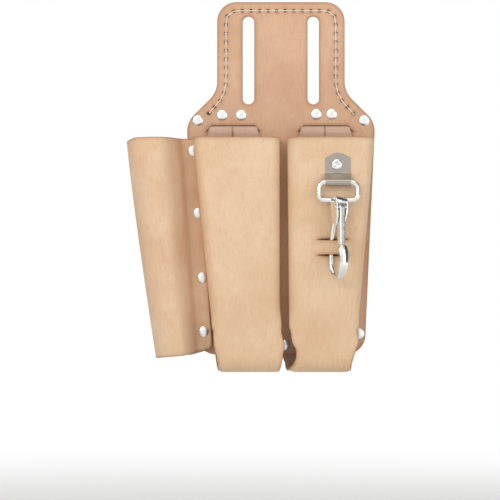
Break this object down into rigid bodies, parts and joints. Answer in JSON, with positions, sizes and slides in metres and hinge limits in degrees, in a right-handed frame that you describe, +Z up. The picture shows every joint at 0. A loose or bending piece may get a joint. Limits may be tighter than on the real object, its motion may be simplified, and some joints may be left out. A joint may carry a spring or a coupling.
{
  "type": "electrician tool pouch",
  "caption": "Leather tool pouch with a slotted belt tab, pliers pockets, a riveted screwdriver sleeve and a sprung snap hook held by a keeper strap.",
  "frame": {"origin": "midway between the two belt slots, on the rearmost plane of the leather", "axes": "+Z up, -Y the front, +X to the right seen from the front"},
  "size_m": [0.2134, 0.0524, 0.3191],
  "materials": {
    "panel_leather": "natural vegetable-tanned, smooth",
    "pocket_leather": "natural vegetable-tanned, smooth",
    "sleeve_leather": "natural vegetable-tanned, smooth",
    "thread": "waxed thread",
    "rivet_nickel": "nickel plated, bright",
    "plate_steel": "zinc plated, satin",
    "snap_nickel": "nickel plated, bright",
    "spring_steel": "spring steel"
  },
  "bodies": {
    "pouch": {"back_panel": "panel_leather", "tab_backing": "panel_leather", "tab_stitching": "thread", "tab_rivets": "rivet_nickel", "tab_rivet_washers": "rivet_nickel", "shoulder_rivets": "rivet_nickel", "shoulder_rivet_washers": "rivet_nickel", "left_pliers_pocket": "pocket_leather", "right_pliers_pocket": "pocket_leather", "keeper_strap": "pocket_leather", "screwdriver_sleeve": "sleeve_leather", "sleeve_rivets": "rivet_nickel", "sleeve_rivet_washers": "rivet_nickel", "bottom_rivets": "rivet_nickel", "bottom_rivet_washers": "rivet_nickel", "snap_plate": "plate_steel", "plate_rivet": "rivet_nickel", "plate_rivet_washer": "rivet_nickel"},
    "snap": {"snap_body": "snap_nickel", "gate_pin": "snap_nickel", "gate_spring": "spring_steel"},
    "gate": {"gate": "snap_nickel"}
  },
  "joints": [
    {"name": "snap_swing", "type": "hinge", "parent": "pouch", "child": "snap", "pos_m": [0.0485, -0.0356, -0.1062], "axis": [-1, 0, 0], "range_deg": [0, 5], "deforming": ["keeper_strap"]},
    {"name": "gate_hinge", "type": "hinge", "parent": "snap", "child": "gate", "pos_m": [0.05083, -0.04141, -0.12723], "axis": [0.848, 0.5274, -0.0517], "range_deg": [0, 12], "stiffness_Nm_per_rad": 0.02, "springref_deg": -17.19, "deforming": ["gate_spring"]}
  ]
}
